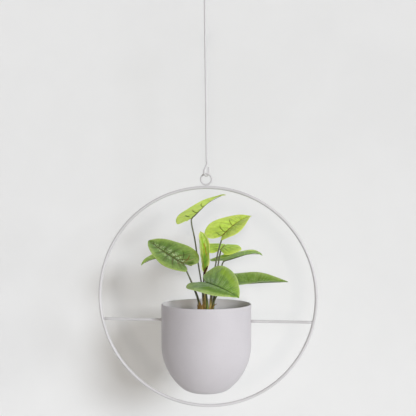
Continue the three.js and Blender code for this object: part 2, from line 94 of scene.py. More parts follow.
# Leaves: form and bends as in the CAD, then colours from 0 to 255. body and margin are the blade's middle and
# edge, rib and vein the midrib and the side veins by it. The rest are strengths: fleck of the pale flecks, bands
# of the dark furrows along the main side veins, fine of the fine pale veins, show of the vein colour by the
# midrib, bloom of the grey bloom near the blade's foot. streaks are single veins and patches: start and end (as
# shares of the length and of half the width), width in millimetres and colour.
LEAVES = {
    "top": dict(
        form=DRAWN_OUT, length=72, width=60, base=(-32, 38, 162), heading=-34, rise=35, droop=-10, hook=52,
        sway=35, roll=14, fold=18, curl=-6, lobe=0.22, root=(-3, 3),
        via=[(-6, 6, 39), (-16.4, 21, 91), (-23, 31, 127)],
        body=(210, 247, 113), margin=(223, 250, 125), rib=(110, 112, 62), vein=(112, 120, 60),
        fleck=0.0, bands=0.3, fine=0.55, show=0.3, bloom=0.0,
        streaks=[
            ((0.34, -0.3), (0.47, -0.68), 1.1, (92, 108, 50)),
            ((0.38, 0.15), (0.58, -0.62), 1.0, (112, 128, 56)),
            ((0.6, -0.02), (0.71, -0.75), 0.9, (140, 158, 76)),
        ],
    ),
    "upper_right": dict(
        form=HEART, length=87, width=68, base=(23.4, 20, 134.5), heading=60, rise=32, droop=20, hook=0,
        sway=-5, roll=5, fold=30, curl=29, lobe=0.19, root=(5, 2), via=[(10, 4, 57), (17, 9, 104)],
        body=(189, 221, 93), margin=(212, 239, 115), rib=(128, 86, 40), vein=(112, 110, 46),
        fleck=0.0, bands=0.3, fine=0.6, show=0.35, bloom=0.0,
        streaks=[
            ((0.06, 0.2), (0.39, 0.54), 1.2, (86, 98, 34)), ((0.3, 0.08), (0.53, 0.56), 1.1, (98, 112, 38)),
            ((0.56, 0.06), (0.68, 0.6), 0.9, (124, 142, 48)), ((0.3, -0.08), (0.45, -0.6), 0.9, (128, 146, 52)),
            ((0.12, 0.0), (0.66, 0.0), 1.3, (126, 72, 30)),
        ],
    ),
    "furled": dict(
        form=LANCE, length=68, width=34, base=(-3.9, 10, 74.3), heading=-151, rise=80, droop=18, hook=0,
        sway=-16, roll=-87, fold=35, curl=-56, lobe=0.2, root=(1, -3.5),
        via=[(-1.5, 2, 37), (-5.4, 10, 58)],
        body=(199, 233, 129), margin=(250, 250, 160), rib=(150, 120, 52), vein=(128, 130, 60),
        fleck=0.0, bands=0.2, fine=0.5, show=0.2, bloom=0.0,
        streaks=[
            ((0.9, -0.22), (0.3, -0.22), 2.4, (156, 188, 72)), ((-0.1, 0.0), (0.75, 0.0), 18.0, (106, 142, 58)),
            ((1.0, 0.5), (0.3, 0.8), 3.4, (224, 240, 120)), ((1.0, -0.75), (0.3, -0.75), 3.0, (168, 200, 96)),
            ((0.76, -0.34), (0.47, -0.48), 1.4, (176, 134, 50)),
            ((0.7, -0.1), (0.56, -0.2), 0.8, (190, 170, 62)),
        ],
    ),
    "middle_right": dict(
        form=HEART, length=57, width=65, base=(20.7, 22, 112), heading=77, rise=21, droop=33, hook=0,
        sway=19, roll=4, fold=4, curl=11, lobe=0.25, root=(7.5, 5.5), via=[(14.9, 9, 66), (19.4, 11, 97)],
        body=(190, 232, 92), margin=(213, 249, 103), rib=(120, 110, 52), vein=(116, 130, 60),
        fleck=0.1, bands=0.4, fine=0.55, show=0.8, bloom=0.0,
        streaks=[((0.0, 0.0), (0.14, 0.12), 1.6, (112, 74, 34))],
    ),
    "right_back": dict(
        form=HEART, length=74, width=42, base=(22.4, 34, 93.8), heading=13, rise=12, droop=-8, hook=56,
        sway=48, roll=0, fold=37, curl=37, lobe=0.27, root=(10, 3), via=[(14, 4.5, 43), (19.8, 16, 64)],
        body=(135, 170, 86), margin=(184, 211, 112), rib=(78, 92, 48), vein=(84, 100, 52),
        fleck=0.1, bands=0.35, fine=0.4, show=0.8, bloom=0.0,
        streaks=[((0.02, 0.0), (1.3, 0.0), 1.2, (66, 88, 42))],
    ),
    "left": dict(
        form=FULL, length=87, width=68, base=(-35.5, -6, 89.7), heading=158, rise=25, droop=10, hook=0,
        sway=-19, roll=-26, fold=18, curl=9, lobe=0.18, root=(-10.5, -2),
        via=[(-12.1, -2.5, 27), (-22.6, -4, 58)],
        body=(108, 139, 77), margin=(150, 173, 101), rib=(92, 84, 52), vein=(132, 84, 62),
        fleck=0.8, bands=0.6, fine=0.4, show=0.7, bloom=0.2,
        streaks=[
            ((0.2, -0.2), (0.46, -0.76), 1.2, (116, 84, 54)), ((0.27, -0.12), (0.54, -0.66), 1.1, (66, 82, 42)),
            ((0.26, -0.34), (0.37, -0.9), 0.9, (160, 150, 112)),
            ((0.43, -0.03), (0.6, -0.42), 1.0, (72, 90, 46)),
            ((0.6, -0.02), (0.73, -0.4), 0.9, (74, 92, 48)), ((0.24, 0.06), (0.4, 0.5), 0.9, (126, 106, 70)),
            ((0.1, 0.02), (0.46, 0.02), 1.5, (140, 80, 62)), ((0.12, -0.8), (0.3, -0.55), 9.0, (70, 96, 46)),
        ],
    ),
    "far_left": dict(
        form=HEART, length=83, width=43, base=(-41.8, 30, 88.8), heading=178, rise=26, droop=56, hook=14,
        sway=-25, roll=-4, fold=42, curl=28, lobe=0.17, root=(-10, 3),
        via=[(-13.3, 6, 31), (-22.2, 13, 51), (-33, 22, 71)],
        body=(160, 202, 97), margin=(203, 242, 122), rib=(90, 110, 54), vein=(96, 116, 56),
        fleck=0.2, bands=0.3, fine=0.4, show=0.8, bloom=0.0,
        streaks=[],
    ),
    "front": dict(
        form=FULL, length=82, width=74, base=(0.5, -16, 62.3), heading=-47, rise=-4, droop=19, hook=0,
        sway=-1, roll=28, fold=17, curl=3, lobe=0.22, root=(4, -5), via=[(2.1, -11, 35)],
        body=(137, 171, 113), margin=(184, 218, 133), rib=(62, 84, 40), vein=(134, 160, 104),
        fleck=0.3, bands=0.3, fine=0.7, show=0.8, bloom=0.8,
        streaks=[
            ((0.5, -0.45), (1.15, -0.5), 12.0, (118, 152, 74)), ((0.5, 0.75), (0.8, 0.6), 9.0, (160, 200, 84)),
        ],
    ),
    "right_low": dict(
        form=HEART, length=109, width=52, base=(30.7, 4, 57.1), heading=-23, rise=7, droop=4, hook=0,
        sway=0, roll=21, fold=37, curl=35, lobe=0.1, root=(11.5, -2), via=[(13.4, 0, 32)],
        body=(122, 151, 95), margin=(162, 188, 132), rib=(74, 96, 44), vein=(132, 156, 100),
        fleck=0.2, bands=0.15, fine=0.35, show=0.8, bloom=0.4,
        streaks=[((0.02, 0.0), (1.3, 0.0), 1.4, (58, 82, 36))],
    ),
}

# ---------------------------------------------------------------- mesh tools


def linear(colour):
    """A 0 to 255 screen colour as linear RGBA."""
    scaled = np.array(colour, float) / 255
    value = np.where(scaled <= 0.04045, scaled / 12.92, ((scaled + 0.055) / 1.055) ** 2.4)
    return (*map(float, value), 1.0)


def mesh_piece(name, verts, faces, material, body, slot=None, replaces=(), uvs=None, second=()):
    """Makes a smooth-shaded piece from points in millimetres. uvs maps a layer name to one (u, v) per point.
    second holds the numbers of the faces that take the second material."""
    mesh = bpy.data.meshes.new(name)
    mesh.from_pydata([tuple(v) for v in np.asarray(verts, float) * 0.001], [], [tuple(f) for f in faces])
    loops = np.zeros(len(mesh.loops), dtype=np.int32)
    mesh.loops.foreach_get("vertex_index", loops)
    for layer, values in (uvs or {}).items():
        data = mesh.uv_layers.new(name=layer)
        data.data.foreach_set("uv", np.asarray(values, float)[loops].ravel())
    materials = material if isinstance(material, (list, tuple)) else [material]
    for each in materials:
        mesh.materials.append(each)
    for face in second:
        mesh.polygons[face].material_index = 1
    mesh.polygons.foreach_set("use_smooth", np.ones(len(mesh.polygons), dtype=bool))
    mesh.validate()
    mesh.update()
    piece = bpy.data.objects.new(name, mesh)
    bpy.context.scene.collection.objects.link(piece)
    if body:
        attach(piece, body)
    if replaces:
        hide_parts(*replaces)
    return piece


def sharpen(piece, degrees=40):
    """Keeps edges over an angle sharp."""
    limit = math.radians(degrees)
    mesh = piece.data
    normals = [f.normal.copy() for f in mesh.polygons]
    by_edge = {}
    for face in mesh.polygons:
        for key in face.edge_keys:
            by_edge.setdefault(key, []).append(face.index)
    sharp = np.zeros(len(mesh.edges), dtype=bool)
    for edge in mesh.edges:
        pair = by_edge.get(edge.key, [])
        sharp[edge.index] = len(pair) == 2 and normals[pair[0]].angle(normals[pair[1]], 0) > limit
    layer = mesh.attributes.new("sharp_edge", "BOOLEAN", "EDGE")
    layer.data.foreach_set("value", sharp)
    mesh.update()


def joined(*parts):
    """One list of points and faces from several."""
    verts, faces, start = [], [], 0
    for part_verts, part_faces in parts:
        verts.extend(part_verts)
        faces.extend(tuple(i + start for i in face) for face in part_faces)
        start += len(part_verts)
    return verts, faces


def revolve(profile, steps, middle=(0, 0, 0)):
    """Turns a closed run of (radius, height) points round Z. One that starts and ends on the axis is capped."""
    verts, rings = [], []
    for radius, height in profile:
        if radius < 1e-6:
            rings.append([len(verts)] * steps)
            verts.append((middle[0], middle[1], middle[2] + height))
            continue
        rings.append(list(range(len(verts), len(verts) + steps)))
        for i in range(steps):
            angle = 2 * math.pi * i / steps
            verts.append((middle[0] + radius * math.cos(angle), middle[1] + radius * math.sin(angle),
                          middle[2] + height))
    loops = list(zip(rings, rings[1:])) if profile[0][0] < 1e-6 else list(zip(rings, rings[1:] + rings[:1]))
    faces = []
    for low, high in loops:
        for i in range(steps):
            j = (i + 1) % steps
            face = []
            for index in (low[i], low[j], high[j], high[i]):
                if index not in face:
                    face.append(index)
            if len(face) > 2:
                faces.append(face)
    return verts, faces


def centripetal(points, per_span):
    """A smooth line through points, as the CAD's bent wires run."""
    points = np.asarray(points, float)
    points = np.vstack([2 * points[0] - points[1], points, 2 * points[-1] - points[-2]])
    line = []
    for i in range(1, len(points) - 2):
        p = points[i - 1 : i + 3]
        d = np.maximum(np.linalg.norm(np.diff(p, axis=0), axis=1) ** 0.5, 1e-4)
        m1 = ((p[1] - p[0]) / d[0] - (p[2] - p[0]) / (d[0] + d[1]) + (p[2] - p[1]) / d[1]) * d[1]
        m2 = ((p[2] - p[1]) / d[1] - (p[3] - p[1]) / (d[1] + d[2]) + (p[3] - p[2]) / d[2]) * d[1]
        for k in range(per_span):
            t = k / per_span
            line.append(
                (2 * t**3 - 3 * t**2 + 1) * p[1] + (t**3 - 2 * t**2 + t) * m1
                + (3 * t**2 - 2 * t**3) * p[2] + (t**3 - t**2) * m2
            )
    line.append(points[-2])
    return np.array(line)


def tube(line, radii, sides, closed=False, round_ends=True):
    """A tube along a line with one radius for each point. Open ends are domed a little."""
    line = np.asarray(line, float)
    radii = np.broadcast_to(np.asarray(radii, float), len(line)).copy()
    if closed:
        tangents = np.roll(line, -1, 0) - np.roll(line, 1, 0)
    else:
        tangents = np.gradient(line, axis=0)
    tangents /= np.linalg.norm(tangents, axis=1)[:, None]
    if round_ends and not closed:
        def dome(end, towards, radius):
            rings = ((0.12, 0.86), (0.2, 0.6), (0.24, 0.25))
            return [(end + towards * radius * f, radius * s) for f, s in rings]
        head = dome(line[0], -tangents[0], radii[0])[::-1]
        tail = dome(line[-1], tangents[-1], radii[-1])
        line = np.vstack([[p for p, _ in head], line, [p for p, _ in tail]])
        radii = np.concatenate([[r for _, r in head], radii, [r for _, r in tail]])
        tangents = np.vstack([[tangents[0]] * 3, tangents, [tangents[-1]] * 3])
    side = np.cross(tangents[0], (0.0, 1.0, 0.0))
    if np.linalg.norm(side) < 0.2:
        side = np.cross(tangents[0], (1.0, 0.0, 0.0))
    verts = []
    for point, tangent, radius in zip(line, tangents, radii):
        side = side - tangent * side.dot(tangent)
        side /= np.linalg.norm(side)
        other = np.cross(tangent, side)
        for k in range(sides):
            angle = 2 * math.pi * k / sides
            verts.append(point + radius * (math.cos(angle) * side + math.sin(angle) * other))
    count = len(line)
    faces = []
    for i in range(count if closed else count - 1):
        j = (i + 1) % count
        for k in range(sides):
            m = (k + 1) % sides
            faces.append((i * sides + k, i * sides + m, j * sides + m, j * sides + k))
    if not closed:
        faces.append(tuple(range(sides - 1, -1, -1)))
        faces.append(tuple((count - 1) * sides + k for k in range(sides)))
    return verts, faces


def ring_line(radius, z, steps):
    """A circle that stands in the XZ plane, from its top."""
    angles = np.linspace(0, 2 * math.pi, steps, endpoint=False) + math.pi / 2
    return np.stack([radius * np.cos(angles), np.zeros(steps), z + radius * np.sin(angles)], -1)


# ---------------------------------------------------------------- materials


class Nodes:
    """A material and short ways to add and wire its nodes."""

    def __init__(self, name, **settings):
        self.material = bpy.data.materials.new(name)
        self.material.use_nodes = True
        self.tree = self.material.node_tree
        self.shader = self.tree.nodes["Principled BSDF"]
        for socket, value in settings.items():
            self.shader.inputs[socket.replace("_", " ")].default_value = value

    def node(self, kind, inputs=None, **settings):
        made = self.tree.nodes.new(kind)
        for key, value in settings.items():
            setattr(made, key, value)
        for key, value in (inputs or {}).items():
            self.put(made.inputs[key], value)
        return made

    def put(self, socket, value):
        if isinstance(value, bpy.types.NodeSocket):
            self.tree.links.new(value, socket)
        else:
            socket.default_value = value

    def math(self, operation, a, b=0.0, clamp=False):
        made = self.node("ShaderNodeMath", operation=operation, use_clamp=clamp)
        self.put(made.inputs[0], a)
        if operation not in ("FRACT", "ABSOLUTE"):
            self.put(made.inputs[1], b)
        return made.outputs[0]

    def times(self, *values):
        product = values[0]
        for value in values[1:]:
            product = self.math("MULTIPLY", product, value)
        return product

    def off_middle(self, value):
        """How far a value is from a half."""
        return self.math("ABSOLUTE", self.math("SUBTRACT", value, 0.5))

    def smooth(self, value, low, high, to_low=0.0, to_high=1.0):
        made = self.node("ShaderNodeMapRange", interpolation_type="SMOOTHSTEP")
        for key, each in zip(("Value", "From Min", "From Max", "To Min", "To Max"),
                             (value, low, high, to_low, to_high)):
            self.put(made.inputs[key], each)
        return made.outputs[0]

    def mix(self, factor, a, b):
        """A blend of two tones, each a socket or a colour from 0 to 255."""
        made = self.node("ShaderNodeMix", data_type="RGBA")
        self.put(made.inputs[0], factor)
        for number, tone in ((6, a), (7, b)):
            self.put(made.inputs[number], tone if isinstance(tone, bpy.types.NodeSocket) else linear(tone))
        return made.outputs[2]

    def noise(self, scale, detail=3.0, roughness=0.5, vector=None):
        if vector is None:
            vector = self.node("ShaderNodeTexCoord").outputs["Object"]
        made = self.node("ShaderNodeTexNoise", {"Scale": scale, "Detail": detail, "Roughness": roughness})
        self.put(made.inputs["Vector"], vector)
        return made.outputs["Fac"]

    def bump(self, height, strength, distance=0.001):
        made = self.node("ShaderNodeBump", {"Strength": strength, "Distance": distance})
        self.put(made.inputs["Height"], height)
        self.put(self.shader.inputs["Normal"], made.outputs[0])

    def uv(self, layer):
        """The u and the v of a map."""
        place = self.node("ShaderNodeSeparateXYZ", {0: self.node("ShaderNodeUVMap", uv_map=layer).outputs[0]})
        return place.outputs[0], place.outputs[1]

    def fibres(self, across, along, detail, roughness):
        """Noise that is drawn out along Z."""
        place = self.node("ShaderNodeTexCoord").outputs["Object"]
        drawn = self.node("ShaderNodeMapping", {"Vector": place, "Scale": (across, across, along)})
        return self.noise(1.0, detail, roughness, drawn.outputs[0])

    def stripes(self, foot, count, width):
        """Lines along the side veins, where foot is the u of the veins map."""
        place = self.math("FRACT", self.math("ADD", self.times(foot, float(count)), 0.5))
        return self.smooth(self.off_middle(place), 0.0, width, 1.0, 0.0)

    def streak(self, tone, leaf, start, end, width, colour):
        """A streak between two places, each a share of the length and, either way, of half the width."""
        size = np.array((leaf["length"], leaf["width"] / 2))
        a, b = np.array(start) * size, np.array(end) * size
        turn = math.atan2(b[1] - a[1], b[0] - a[0])
        c, d = math.cos(turn), math.sin(turn)
        x, y = -a[0], size[1] - a[1]
        mapped = self.node("ShaderNodeMapping", {
            "Vector": self.node("ShaderNodeUVMap", uv_map="veins").outputs[0],
            "Location": (c * x + d * y, -d * x + c * y, 0), "Rotation": (0, 0, -turn),
            "Scale": (leaf["length"], -leaf["width"], 0),
        })
        place = self.node("ShaderNodeSeparateXYZ", {0: mapped.outputs[0]})
        reach = math.dist(a, b)
        line = self.smooth(self.math("ABSOLUTE", place.outputs[1]), width * 0.25, width, 1.0, 0.0)
        begun = self.smooth(place.outputs[0], -1.2, 0.6)
        ended = self.smooth(place.outputs[0], reach * 0.6, reach, 1.0, 0.0)
        return self.mix(self.times(begun, ended, line), tone, colour)

    def streaks(self, tone, leaf):
        for start, end, width, colour in leaf["streaks"]:
            tone = self.streak(tone, leaf, start, end, width, colour)
        return tone

    def colour(self, value):
        self.put(self.shader.inputs["Base Color"], value)

    def roughness(self, value):
        self.put(self.shader.inputs["Roughness"], value)


def powder_coat(name, colour, shade, roughness, grain=1600.0, strength=0.12):
    """Painted steel: a fine orange peel, faint cloudiness and slightly uneven gloss."""
    m = Nodes(name, Specular_IOR_Level=0.4)
    cloud = m.noise(14.0, 4.0, 0.55)
    speck = m.noise(420.0, 2.0, 0.5)
    tone = m.mix(m.smooth(cloud, 0.3, 0.7), colour, shade)
    m.colour(m.mix(m.smooth(speck, 0.62, 0.78, 0.0, 0.25), tone, [c * 0.86 for c in colour]))
    m.roughness(m.smooth(cloud, 0.25, 0.75, roughness - 0.05, roughness + 0.07))
    m.bump(m.noise(grain, 2.0, 0.6), strength, 0.0004)
    return m.material


def zinc():
    """Bright plating for the screws and washers."""
    m = Nodes("zinc_plate", Metallic=1.0)
    speck = m.noise(700.0, 3.0, 0.6)
    m.colour(m.mix(speck, (176, 178, 182), (206, 206, 204)))
    m.roughness(m.smooth(speck, 0.3, 0.7, 0.28, 0.46))
    m.bump(speck, 0.15, 0.0003)
    return m.material


def moulded_black():
    """Black plastic with dust in places."""
    m = Nodes("black_plastic", Specular_IOR_Level=0.4)
    dust = m.noise(60.0, 5.0, 0.6)
    m.colour(m.mix(m.smooth(dust, 0.45, 0.8, 0.0, 0.5), (38, 39, 42), (74, 70, 64)))
    m.roughness(m.smooth(dust, 0.3, 0.7, 0.42, 0.66))
    m.bump(m.noise(900.0, 2.0, 0.5), 0.2, 0.0003)
    return m.material


def soil_material():
    m = Nodes("potting_soil", Specular_IOR_Level=0.15, Roughness=0.95)
    coarse = m.noise(240.0, 6.0, 0.7)
    fine = m.noise(1100.0, 4.0, 0.7)
    tone = m.mix(m.smooth(coarse, 0.35, 0.68), (44, 31, 22), (88, 66, 46))
    m.colour(m.mix(m.smooth(fine, 0.6, 0.75, 0.0, 0.6), tone, (122, 98, 72)))
    m.bump(m.math("ADD", coarse, fine), 0.9, 0.0015)
    return m.material


def perlite_material():
    m = Nodes("perlite", Specular_IOR_Level=0.2, Roughness=0.9)
    grain = m.noise(800.0, 4.0, 0.6)
    m.colour(m.mix(grain, (186, 180, 166), (228, 226, 218)))
    m.bump(grain, 0.5, 0.0005)
    return m.material


# Light comes through a thin leaf.
THIN = dict(Subsurface_Weight=0.6, Subsurface_Scale=0.003, Subsurface_Radius=(0.9, 1.0, 0.3))


def blade_material(name, leaf):
    """The upper face of a blade. The veins map holds how far along its side vein's foot a point is (u) and how
    far out from the midrib (v, half a unit either way). The flat map holds the flat blade's place."""
    m = Nodes(name, Specular_IOR_Level=0.2, **THIN)
    foot, sideways = m.uv("veins")
    out = m.times(m.off_middle(sideways), 2.0)
    across = m.off_middle(m.uv("flat")[1])
    cloud = m.noise(38.0, 4.0, 0.6)
    patch = m.noise(140.0, 3.0, 0.6)

    body, margin = np.array(leaf["body"], float), np.array(leaf["margin"], float)
    bright = np.minimum(body * 1.25 + 14, 255)
    tone = m.mix(m.smooth(cloud, 0.32, 0.7), body * 0.9, np.minimum(body * 1.06, 255))
    tone = m.mix(m.smooth(patch, 0.42, 0.7, 0.0, 0.5), tone, body * 0.76)
    if leaf["bloom"]:
        # a grey bloom near the foot, a fresher green towards the tip
        bare = m.math("ADD", foot, m.times(m.math("SUBTRACT", cloud, 0.5), 0.9))
        tone = m.mix(m.smooth(bare, 0.3, 0.75, 0.0, leaf["bloom"]), tone, body * (1.0, 1.04, 0.52))
        tone = m.mix(m.smooth(bare, 0.1, 0.6, leaf["bloom"], 0.0), tone, body * 0.88 + (22, 18, 34))
    # the young green of the margin runs in from the edge in tongues between the side veins
    tongue = m.math("ADD", m.times(m.noise(95.0, 4.0, 0.7), 0.9), m.times(out, 0.5))
    tone = m.mix(m.smooth(tongue, 0.62, 1.02, 0.0, 0.85), tone, margin)
    # fine side veins, paler than the blade and broken here and there
    broken = m.smooth(m.noise(260.0, 3.0, 0.6), 0.35, 0.6, 0.35, 1.0)
    fine = m.times(m.stripes(foot, FINE_VEINS, 0.24), broken, m.smooth(out, 0.1, 1.0, 0.9, 0.3), leaf["fine"])
    tone = m.mix(fine, tone, bright)
    # the quilted blade is darker in the furrow along each main side vein
    main = m.stripes(foot, SIDE_VEINS, 0.12)
    furrow = m.times(m.stripes(foot, SIDE_VEINS, 0.34), m.smooth(out, 0.35, 0.95, leaf["bands"], 0.0))
    tone = m.mix(furrow, tone, body * 0.66)
    near = m.times(m.smooth(out, 0.3, 0.75, 1.0, 0.0), m.smooth(foot, 0.3, 0.62, 1.0, 0.2))
    tone = m.mix(m.times(main, near, leaf["show"]), tone, leaf["vein"])
    tone = m.streaks(tone, leaf)
    if leaf["fleck"]:
        spots = m.smooth(m.noise(620.0, 3.0, 0.7), 0.5, 0.58)
        band = m.times(m.smooth(out, 0.05, 0.12), m.smooth(out, 0.2, 0.42, 1.0, 0.0))
        between = m.math("SUBTRACT", 1.0, m.stripes(foot, SIDE_VEINS, 0.3), clamp=True)
        fleck = m.times(spots, band, m.times(between, leaf["fleck"]))
        tone = m.mix(fleck, tone, np.minimum(body * 1.1 + 112, 240))
    tone = m.mix(m.smooth(out, 0.9, 1.0, 0.0, 0.8), tone, np.minimum(margin * 1.06, 255))
    rib = m.times(m.smooth(across, 0.004, 0.024, 1.0, 0.0), m.smooth(foot, 0.5, 1.0, 1.0, 0.4))
    m.colour(m.mix(rib, tone, leaf["rib"]))
    m.roughness(m.smooth(patch, 0.3, 0.7, 0.42, 0.6))
    relief = m.math("SUBTRACT", m.times(patch, 0.5), m.times(m.stripes(foot, FINE_VEINS, 0.3), 0.6))
    m.bump(m.math("SUBTRACT", relief, m.times(main, 0.8)), 0.5, 0.0008)
    return m.material


def blade_under_material(name, leaf):
    """The under face: paler and duller, with raised veins."""
    m = Nodes(name, Specular_IOR_Level=0.15, **THIN)
    line = m.stripes(m.uv("veins")[0], SIDE_VEINS, 0.14)
    body = np.array(leaf["body"], float) * 0.8 + 34
    cloud = m.noise(60.0, 4.0, 0.6)
    tone = m.mix(cloud, body * 0.93, body * 1.05)
    tone = m.mix(m.times(line, 0.5), tone, np.minimum(body * 1.2, 235))
    m.colour(m.streaks(tone, leaf))
    m.roughness(m.smooth(cloud, 0.3, 0.7, 0.55, 0.7))
    m.bump(m.math("ADD", m.times(cloud, 0.3), line), 0.4, 0.0006)
    return m.material


def stalk_material(name, low, high, split):
    """A stalk: fine streaks along it, with its foot's colour below a height and its own above. The foot's colour
    is paler than its own as painted light against the shade there.
    """
    m = Nodes(name, Specular_IOR_Level=0.4)
    place = m.node("ShaderNodeTexCoord").outputs["Object"]
    height = m.node("ShaderNodeSeparateXYZ", {0: place}).outputs[2]
    streak = m.fibres(900.0, 60.0, 3.0, 0.6)
    own = m.mix(m.smooth(streak, 0.35, 0.7), np.array(high) * 0.86, np.array(high) * 1.1)
    foot = m.mix(m.smooth(streak, 0.35, 0.65), np.array(low) * 0.72, np.array(low) * 1.16)
    z = (SOIL_Z + split) * 0.001
    m.colour(m.mix(m.smooth(height, z - 0.012, z + 0.012), foot, own))
    m.roughness(m.smooth(streak, 0.3, 0.7, 0.42, 0.6))
    m.bump(streak, 0.3, 0.0004)
    return m.material


def dry_material():
    """Pale brown, fibrous and blotched: the dry sheath and the dry shoot. Its browns are paler than their own as
    painted light against the shade at the stalks' feet.
    """
    m = Nodes("dry_husk", Specular_IOR_Level=0.2, Roughness=0.85)
    fibres = m.fibres(700.0, 40.0, 4.0, 0.65)
    blotch = m.noise(160.0, 3.0, 0.6)
    # both browns are painted paler than the husk's own, as light against the shade at the stalks' feet
    tone = m.mix(m.smooth(fibres, 0.32, 0.68), (96, 70, 36), (196, 156, 92))
    m.colour(m.mix(m.smooth(blotch, 0.5, 0.72, 0.0, 0.7), tone, (140, 128, 66)))
    m.bump(fibres, 0.8, 0.0008)
    return m.material


def dark_husk():
    """Dark brown: what is left of the furled leaf's sheath."""
    m = Nodes("dark_husk", Specular_IOR_Level=0.3)
    fibres = m.fibres(800.0, 90.0, 4.0, 0.65)
    m.colour(m.mix(m.smooth(fibres, 0.35, 0.68), (38, 22, 14), (96, 54, 28)))
    m.roughness(m.smooth(fibres, 0.3, 0.7, 0.5, 0.7))
    m.bump(fibres, 0.6, 0.0006)
    return m.material


def wall_material():
    m = Nodes("pale_wall", Specular_IOR_Level=0.1, Roughness=0.9)
    wash = m.noise(3.2, 5.0, 0.6)
    m.colour(m.mix(m.smooth(wash, 0.35, 0.65), (238, 238, 237), (241, 241, 240)))
    m.bump(m.noise(36.0, 4.0, 0.6), 0.08, 0.002)
    # its back lets the view through, so that the planter can be looked at from behind
    see = m.node("ShaderNodeMixShader", {0: m.node("ShaderNodeNewGeometry").outputs["Backfacing"]})
    m.put(see.inputs[1], m.shader.outputs[0])
    m.put(see.inputs[2], m.node("ShaderNodeBsdfTransparent").outputs[0])
    m.put(m.tree.nodes["Material Output"].inputs["Surface"], see.outputs[0])
    return m.material


# ---------------------------------------------------------------- hanger, hoop, eye, bars, welds

STEEL = powder_coat("powder_coat_white", (219, 217, 218), (211, 209, 209), 0.36)
POT_COAT = powder_coat("powder_coat_warm_grey", (209, 205, 208), (205, 201, 204), 0.6, 1500.0, 0.1)
# the inside coat is paler than the outside one: painted light that offsets the plant's shadow inside the pot
POT_INSIDE_PAINTED_LIGHT = powder_coat("powder_coat_inside_painted_light", (228, 224, 224), (222, 218, 218), 0.6, 1500.0, 0.1)
ZINC = zinc()


def hook_line(shank_side):
    """A hook as (side, height) from its shank to its open end, lowest point at height 0."""
    points = [
        (shank_side, HOOK_KINK_HEIGHT + 6), (shank_side, HOOK_KINK_HEIGHT + 4),
        (HOOK_KINK_SIDE, HOOK_KINK_HEIGHT),
        ((HOOK_KINK_SIDE - HOOK_RADIUS) / 2, (HOOK_KINK_HEIGHT + HOOK_RADIUS) / 2),
    ]
    for step in range(9):
        angle = math.radians(180 + 22.5 * step)
        points.append((HOOK_RADIUS * math.cos(angle), HOOK_RADIUS * (1 + math.sin(angle))))
    points.append((HOOK_RADIUS, (HOOK_RADIUS + HOOK_END_HEIGHT) / 2))
    points.append((HOOK_RADIUS, HOOK_END_HEIGHT))
    return points


def hook_in_space(line, turn, z, up):
    """Sets a hook's line up at a height, turned round Z. up is -1 for a hook that opens downwards."""
    turn = math.radians(turn)
    return [(side * math.cos(turn), side * math.sin(turn), z + up * height) for side, height in line]


def build_metal():
    upper = hook_in_space(hook_line(-2.5), 0, WIRE / 2, -1)[::-1]
    lower = hook_in_space(hook_line(1.0), 66, -HANGER_REACH - WIRE / 2, 1)
    wire = tube(centripetal(upper + lower, 7), WIRE / 2, 16)
    mesh_piece("wire_hanger", *wire, STEEL, "hanger", "white_steel", ["hanger_wire"])

    eye = tube(ring_line(EYE_CENTRE_RADIUS, EYE_Z, 72), WIRE / 2, 18, closed=True)
    mesh_piece("hanging_ring", *eye, STEEL, "planter", "white_steel", ["hanging_eye"])

    hoop = tube(ring_line(HOOP_RADIUS, HOOP_Z, 288), HOOP_ROD / 2, 20, closed=True)
    mesh_piece("round_hoop", *hoop, STEEL, "planter", "white_steel", ["hoop"])

    # weld between eye and hoop: a small uneven saddle
    top = HOOP_Z + HOOP_RADIUS + HOOP_ROD / 2
    profile = [(0, -0.9), (2.3, -0.75), (2.1, -0.25), (1.35, 0.25), (1.1, 0.8), (0.9, 1.2), (0, 1.3)]
    verts, faces = revolve(profile, 24, (0, 0, top))
    verts = [(x * 1.35, y * 0.82, z) for x, y, z in verts]
    mesh_piece("eye_weld", verts, faces, STEEL, "planter", "white_steel")

    reach = math.sqrt(HOOP_RADIUS**2 - (BAR_Z - HOOP_Z) ** 2) - HOOP_ROD / 2
    for word, side in (("left", -1), ("right", 1)):
        line = [(side * x, 0, BAR_Z) for x in np.linspace(POT_RADIUS - 0.1, reach + 0.6, 12)]
        bar = tube(line, BAR_DIAMETER / 2, 24, round_ends=False)
        mesh_piece(f"cross_bar_{word}", *bar, STEEL, "planter", "white_steel", [f"bar_{word}"])
        # fillet weld where the bar meets the hoop
        spots = [(reach - 1.5, 2.22), (reach - 0.9, 2.42), (reach - 0.2, 2.62), (reach + 0.6, 2.72)]
        weld = tube([(side * x, 0, BAR_Z) for x, _ in spots], [r for _, r in spots], 20, round_ends=False)
        mesh_piece(f"bar_weld_{word}", *weld, STEEL, "planter", "white_steel")


# ---------------------------------------------------------------- pot, screws and washers


def arc(x, z, radius, start, end, parts):
    return [
        (x + radius * math.cos(start + (end - start) * i / parts),
         z + radius * math.sin(start + (end - start) * i / parts))
        for i in range(parts + 1)
    ]


def pot_line(inset):
    """The pot's outside from rim to axis, or its inside when inset is the wall."""
    dome_x = POT_RADIUS - POT_DOME_RADIUS
    depth = POT_HEIGHT - POT_BASE_FILLET - POT_STRAIGHT
    fillet_x = dome_x + math.sqrt((POT_DOME_RADIUS - POT_BASE_FILLET) ** 2 - depth**2)
    fillet_z = POT_BASE_FILLET - POT_HEIGHT
    meet = math.atan2(fillet_z + POT_STRAIGHT, fillet_x - dome_x)
    wall = [(POT_RADIUS - inset, z) for z in np.linspace(-2.5, -POT_STRAIGHT + 4, 8)]
    return (
        wall
        + arc(dome_x, -POT_STRAIGHT, POT_DOME_RADIUS - inset, 0, meet, 22)
        + arc(fillet_x, fillet_z, POT_BASE_FILLET - inset, meet, -math.pi / 2, 8)[1:]
        + [(fillet_x * 0.5, inset - POT_HEIGHT), (0, inset - POT_HEIGHT)]
    )


